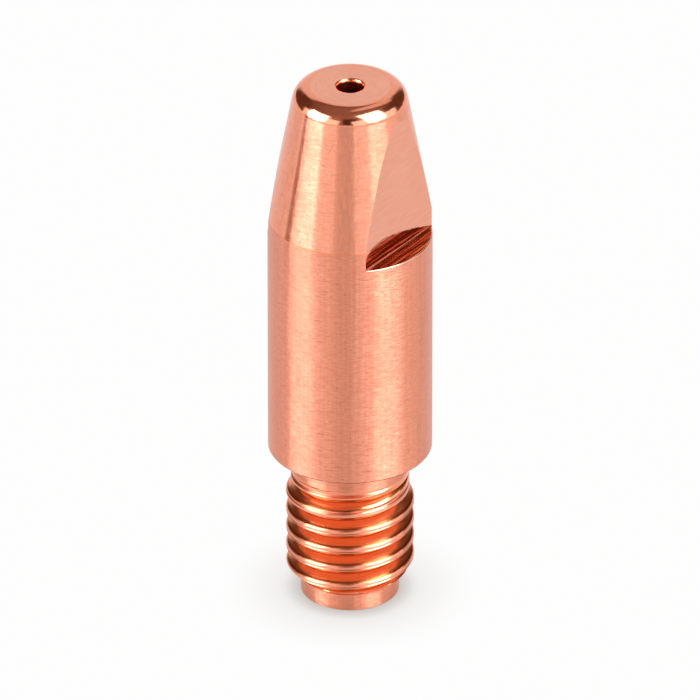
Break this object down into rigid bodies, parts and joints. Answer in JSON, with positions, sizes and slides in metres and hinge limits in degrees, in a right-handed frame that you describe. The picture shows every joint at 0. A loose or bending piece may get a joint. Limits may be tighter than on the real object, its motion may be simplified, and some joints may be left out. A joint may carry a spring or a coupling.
{
  "type": "welding contact tip",
  "caption": "Turned copper contact tip with a tapered nose, a central wire bore, two spanner flats and a rolled thread below a seat shoulder.",
  "frame": {"origin": "centre of the wire-entry face, at the end of the threaded shank", "axes": "+Z along the wire axis towards the nose, +X and -X out of the two spanner flats"},
  "size_m": [0.01, 0.01, 0.035],
  "materials": {
    "copper": "fine turned, with a polished nose and thread"
  },
  "bodies": {
    "root": {"contact_tip": "copper"}
  },
  "joints": []
}
